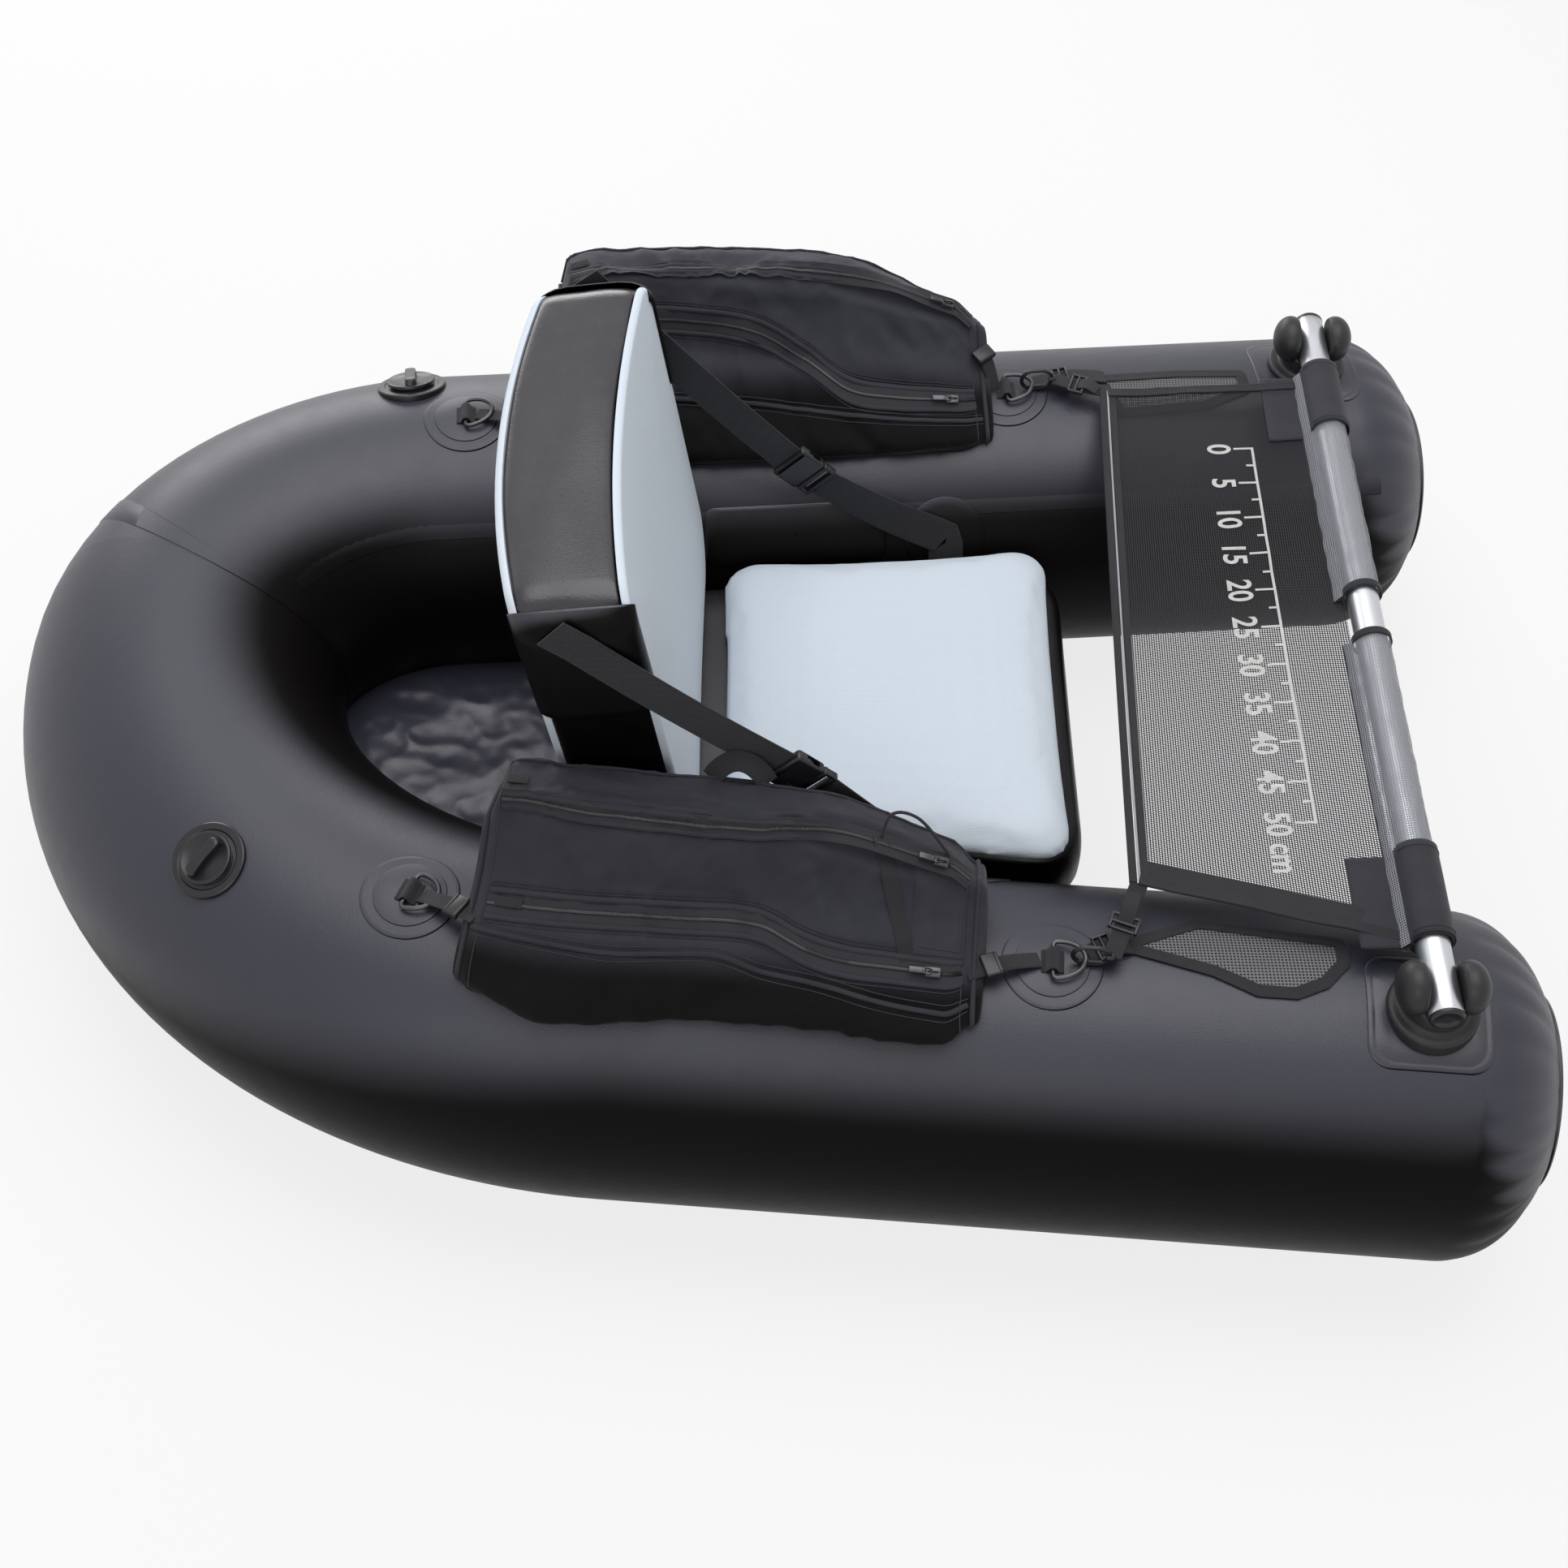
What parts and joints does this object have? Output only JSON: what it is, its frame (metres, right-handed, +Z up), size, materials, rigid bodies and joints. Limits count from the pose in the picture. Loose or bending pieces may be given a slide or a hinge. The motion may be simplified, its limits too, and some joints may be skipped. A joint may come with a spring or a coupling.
{
  "type": "float tube",
  "caption": "Inflatable U-shaped fishing float tube with a raised seat, folding backrest, crossbar with stripping apron, and zipped side bags.",
  "frame": {"origin": "on the ground under the middle of the hull", "axes": "+X towards the open tips of the U, +Z up, +Y towards the angler's left arm"},
  "size_m": [1.5683, 1.1506, 0.6525],
  "materials": {
    "hull": "satin coated fabric",
    "pad": "fine woven pad cloth",
    "webbing": "woven webbing",
    "bag_cloth": "woven nylon",
    "mesh": "open mesh",
    "hard_plastic": "gloss moulded",
    "rubber": "moulded rubber",
    "bar": "satin anodised",
    "ring_metal": "dark plated"
  },
  "bodies": {
    "hull": {"right_chamber": "hull", "left_chamber": "hull", "bulkhead": "hull", "seam_tape": "hull", "right_tip_disc": "hull", "left_tip_disc": "hull", "cargo_floor": "hull", "bar_mount_pad_right": "hull", "bar_mount_pad_left": "hull", "bar_mount_right": "rubber", "bar_mount_left": "rubber", "ring_patch_rear_right": "hull", "ring_patch_rear_left": "hull", "ring_patch_front_right": "hull", "ring_patch_front_left": "hull", "strap_patch_right": "hull", "strap_patch_left": "hull", "seat_flap_right": "hull", "seat_flap_left": "hull", "apron_hook_right": "hard_plastic", "apron_hook_left": "hard_plastic", "valve_body_right": "hard_plastic", "valve_body_left": "hard_plastic", "seat_cushion": "hull", "seat_cover": "pad", "back_strap_upper_right": "webbing", "back_strap_upper_left": "webbing", "back_strap_lower_right": "webbing", "back_strap_lower_left": "webbing", "buckle_female_right": "hard_plastic", "buckle_female_left": "hard_plastic", "buckle_male_right": "hard_plastic", "buckle_male_left": "hard_plastic", "side_bag_right": "bag_cloth", "side_bag_left": "bag_cloth", "apron_panel": "mesh", "apron_wing_right": "mesh", "apron_wing_left": "mesh"},
    "backrest": {"backrest_cushion": "hull", "backrest_front_panel": "pad", "backrest_rear_panel": "pad", "backrest_anchor_right": "hull", "backrest_anchor_left": "hull"},
    "apron_sleeves": {"apron_sleeve_right": "mesh", "apron_sleeve_left": "mesh"},
    "crossbar": {"crossbar_tube": "bar", "bar_plug_right": "rubber", "bar_plug_left": "rubber"},
    "valve_cap_right": {"valve_cap_right": "hard_plastic"},
    "valve_cap_left": {"valve_cap_left": "hard_plastic"},
    "valve_plunger_right": {"valve_plunger_right": "hard_plastic"},
    "valve_plunger_left": {"valve_plunger_left": "hard_plastic"},
    "ring_rear_right": {"d_ring_rear_right": "ring_metal"},
    "ring_rear_left": {"d_ring_rear_left": "ring_metal"},
    "ring_front_right": {"d_ring_front_right": "ring_metal"},
    "ring_front_left": {"d_ring_front_left": "ring_metal"},
    "slider_upper_right": {"zip_slider_upper_right": "ring_metal"},
    "slider_upper_left": {"zip_slider_upper_left": "ring_metal"},
    "slider_lower_right": {"zip_slider_lower_right": "ring_metal"},
    "slider_lower_left": {"zip_slider_lower_left": "ring_metal"}
  },
  "joints": [
    {"name": "backrest_fold", "type": "hinge", "parent": "hull", "child": "backrest", "pos_m": [-0.047, 0, 0.2724], "axis": [0, 1, 0], "range_deg": [0, 60], "deforming": ["back_strap_upper_right", "back_strap_upper_left"]},
    {"name": "crossbar_lift", "type": "slide", "parent": "hull", "child": "apron_sleeves", "axis": [0, 0, 1], "range_m": [0, 0.08], "deforming": ["apron_panel"]},
    {"name": "crossbar_spin", "type": "hinge", "parent": "apron_sleeves", "child": "crossbar", "pos_m": [0.629, 0, 0.37435], "axis": [0, 1, 0], "continuous": true},
    {"name": "valve_right_turn", "type": "hinge", "parent": "hull", "child": "valve_cap_right", "pos_m": [-0.51377, -0.25814, 0.32697], "axis": [-0.2456, -0.2829, 0.9272], "range_deg": [0, 90]},
    {"name": "valve_left_turn", "type": "hinge", "parent": "hull", "child": "valve_cap_left", "pos_m": [-0.38334, 0.39366, 0.32466], "axis": [-0.0607, 0.4022, 0.9135], "range_deg": [0, 90]},
    {"name": "valve_right_press", "type": "slide", "parent": "hull", "child": "valve_plunger_right", "axis": [0.2456, 0.2829, -0.9272], "range_m": [0, 0.006], "stiffness_N_per_m": 400},
    {"name": "valve_left_press", "type": "slide", "parent": "hull", "child": "valve_plunger_left", "axis": [0.0607, -0.4022, -0.9135], "range_m": [0, 0.006], "stiffness_N_per_m": 400},
    {"name": "ring_rear_right_swing", "type": "hinge", "parent": "hull", "child": "ring_rear_right", "pos_m": [-0.315, -0.30304, 0.34595], "axis": [-0.3653, -0.9309, 0], "range_deg": [0, 25]},
    {"name": "ring_rear_left_swing", "type": "hinge", "parent": "hull", "child": "ring_rear_left", "pos_m": [-0.315, 0.33126, 0.34595], "axis": [0.0758, -0.9971, 0], "range_deg": [0, 25]},
    {"name": "ring_front_right_swing", "type": "hinge", "parent": "hull", "child": "ring_front_right", "pos_m": [0.285, -0.37686, 0.34595], "axis": [-0.0758, -0.9971, 0], "range_deg": [0, 25]},
    {"name": "ring_front_left_swing", "type": "hinge", "parent": "hull", "child": "ring_front_left", "pos_m": [0.285, 0.37686, 0.34595], "axis": [0.0758, -0.9971, 0], "range_deg": [0, 25]},
    {"name": "zip_upper_right_pull", "type": "slide", "parent": "hull", "child": "slider_upper_right", "axis": [-0.9438, 0.0805, 0.3205], "range_m": [0, 0.105]},
    {"name": "zip_upper_left_pull", "type": "slide", "parent": "hull", "child": "slider_upper_left", "axis": [-0.9248, -0.0617, 0.3753], "range_m": [0, 0.105]},
    {"name": "zip_lower_right_pull", "type": "slide", "parent": "hull", "child": "slider_lower_right", "axis": [-0.9934, 0.0705, 0.0903], "range_m": [0, 0.105]},
    {"name": "zip_lower_left_pull", "type": "slide", "parent": "hull", "child": "slider_lower_left", "axis": [-0.9909, -0.0803, 0.1079], "range_m": [0, 0.105]}
  ]
}
